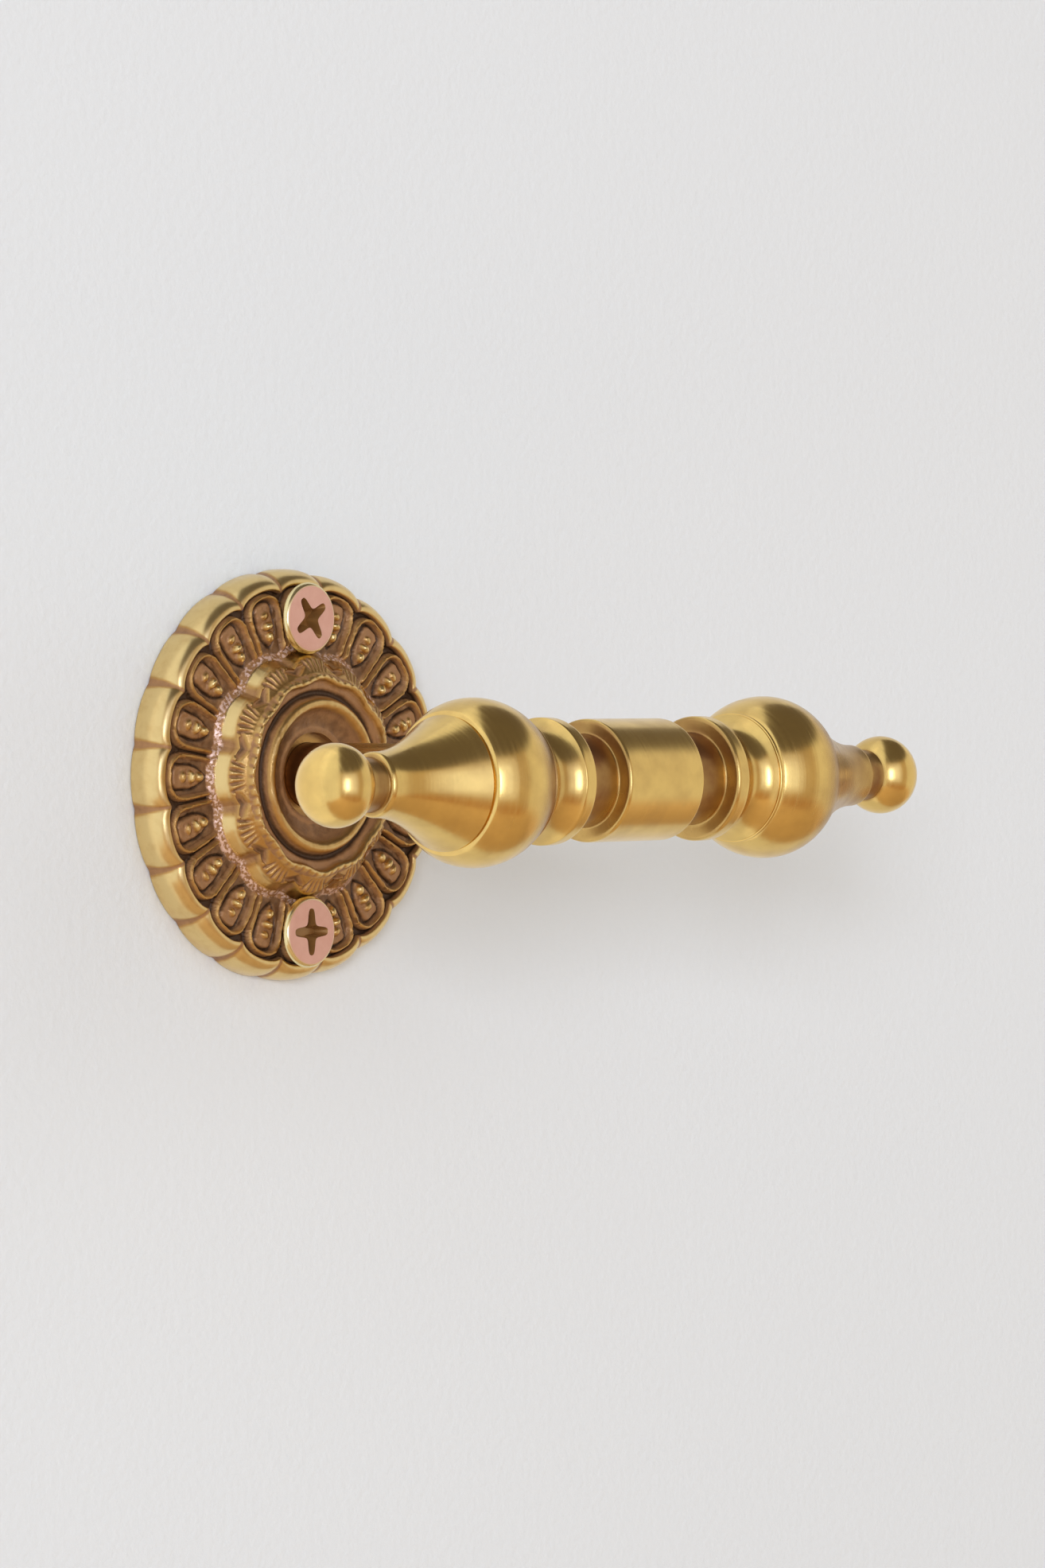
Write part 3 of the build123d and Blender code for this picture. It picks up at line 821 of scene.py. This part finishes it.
def panel(name, corners, material):
    """Flat sheet with the given outline."""
    mesh = bpy.data.meshes.new(name)
    mesh.from_pydata(corners, [], [tuple(range(len(corners)))])
    sheet = bpy.data.objects.new(name, mesh)
    bpy.context.collection.objects.link(sheet)
    mesh.materials.append(material)


plaster = pale_plaster("pale painted plaster", "#e3e9ed", back_clear=True)
opening_edge = arc((0, 0), opening, -90, 90, opening_points)
opening_edge = np.insert(opening_edge, 1, board_y, axis=1)
half_board = np.vstack([opening_edge, [
    (0, board_y, board_top), (room_half, board_y, board_top),
    (room_half, board_y, floor_z), (0, board_y, floor_z),
]])
panel("backdrop_right", half_board[::-1].tolist(), plaster)
panel("backdrop_left", (half_board * (-1, 1, 1)).tolist(), plaster)
panel("pale_floor", [
    (-room_half, -room_half, floor_z), (room_half, -room_half, floor_z),
    (room_half, room_half, floor_z), (-room_half, room_half, floor_z),
], pale_plaster("pale painted floor", "#dbba92", back_clear=False))


# Light: a broad cool window that brightens to its middle and a bright board on the left, both only
# mirrored in the brass; a key that lays the shadow to the right, and two soft fills.
# Round them is a plain world: white on the left, warm in front and below, and dark overhead.

hook_middle = (0, -0.03, 0)


def soft_lamp(name, place, aim, width, height, watts, tint, mirrored):
    """Flat lamp that faces a point: either seen only as a bright shape in the brass, or only as light."""
    data = bpy.data.lights.new(name, "AREA")
    data.shape = "RECTANGLE"
    data.size = width
    data.size_y = height
    data.energy = watts
    data.color = colour(tint)[:3]
    lamp = bpy.data.objects.new(name, data)
    lamp.location = place
    lamp.rotation_euler = (Vector(aim) - Vector(place)).to_track_quat("-Z", "Y").to_euler()
    lamp.visible_camera = False
    lamp.visible_glossy = mirrored
    lamp.visible_diffuse = not mirrored
    bpy.context.collection.objects.link(lamp)


soft_lamp("window", (-0.31, -1.2, 0.12), hook_middle, 1.15, 1.15, 2.1, "#b8d2ff", mirrored=True)
soft_lamp("window_inner", (-0.36, -1.15, 0.1), hook_middle, 0.75, 0.75, 0.9, "#c4d9ff", mirrored=True)
soft_lamp("window_middle", (-0.52, -1.0, 0.04), hook_middle, 0.26, 0.5, 2.0, "#d2e0ff", mirrored=True)
soft_lamp("left_board", (-0.58, -0.0003, 0.0), (-0.58, -1.0, 0.0), 1.1, 1.1, 0.85, "#ffffff", mirrored=True)
soft_lamp("key", (-2.145, -1.818, 0.393), hook_middle, 0.6, 0.6, 36.0, "#eff3ff", mirrored=False)
soft_lamp("fill_right", (0.8, -1.8, 0.4), hook_middle, 1.8, 1.8, 6.8, "#dbecff", mirrored=False)
soft_lamp("fill_front", (-0.3, -1.6, 0.9), hook_middle, 1.6, 1.6, 4.8, "#ecf4ff", mirrored=False)

world = bpy.data.worlds.new("pale room")
world.use_nodes = True
bpy.context.scene.world = world
sky = world.node_tree
warm_front, pale_right = colour("#c8b49b"), colour("#e6e1d9")
warm_floor, pale_floor = colour("#be946c"), colour("#d9bda0")
dark_overhead, white_left = colour("#69615b"), colour("#fbfdff")
facing_right = (0.667, -0.745, 0.0)
direction = add(sky, "TexCoord").outputs["Generated"]
axes = add(sky, "SeparateXYZ", {0: direction}).outputs
turned = add(sky, "VectorMath", {0: direction, 1: facing_right}, operation="DOT_PRODUCT").outputs["Value"]
right = add(sky, "MapRange", {"Value": axes["X"], "From Min": 0.5, "From Max": 0.58}).outputs["Result"]
under = add(sky, "MapRange", {"Value": axes["Z"], "From Min": -0.35, "From Max": -0.5}).outputs["Result"]
left = add(sky, "MapRange", {"Value": turned, "From Min": 0.03, "From Max": -0.03}).outputs["Result"]
over = add(sky, "MapRange", {"Value": axes["Z"], "From Min": 0.48, "From Max": 0.62},
           interpolation_type="SMOOTHSTEP").outputs["Result"]
room = add(sky, "Mix", {0: right, 6: warm_front, 7: pale_right}, data_type="RGBA").outputs[2]
ground = add(sky, "Mix", {0: right, 6: warm_floor, 7: pale_floor}, data_type="RGBA").outputs[2]
low = add(sky, "Mix", {0: under, 6: room, 7: ground}, data_type="RGBA").outputs[2]
high = add(sky, "Mix", {0: over, 6: low, 7: dark_overhead}, data_type="RGBA").outputs[2]
whole = add(sky, "Mix", {0: left, 6: high, 7: white_left}, data_type="RGBA").outputs[2]
sky.links.new(whole, sky.nodes["Background"].inputs["Color"])
sky.nodes["Background"].inputs["Strength"].default_value = 1.0


# Camera: level with the hook and 48 degrees to its left, with a long lens as in the photograph.
# The view transform is Standard, so that a colour renders about as it is written.

camera_data = bpy.data.cameras.new("photo_camera")
camera_data.sensor_width = 36.0
camera_data.sensor_fit = "AUTO"
camera_data.lens = 136.15
camera = bpy.data.objects.new("photo_camera", camera_data)
camera.location = (-0.5178, -0.5041, 0.0119)
aim = Vector((0.00009, -0.0401, -0.00066))
camera.rotation_euler = (aim - camera.location).to_track_quat("-Z", "Y").to_euler()
bpy.context.collection.objects.link(camera)
bpy.context.scene.camera = camera
bpy.context.scene.view_settings.view_transform = "Standard"
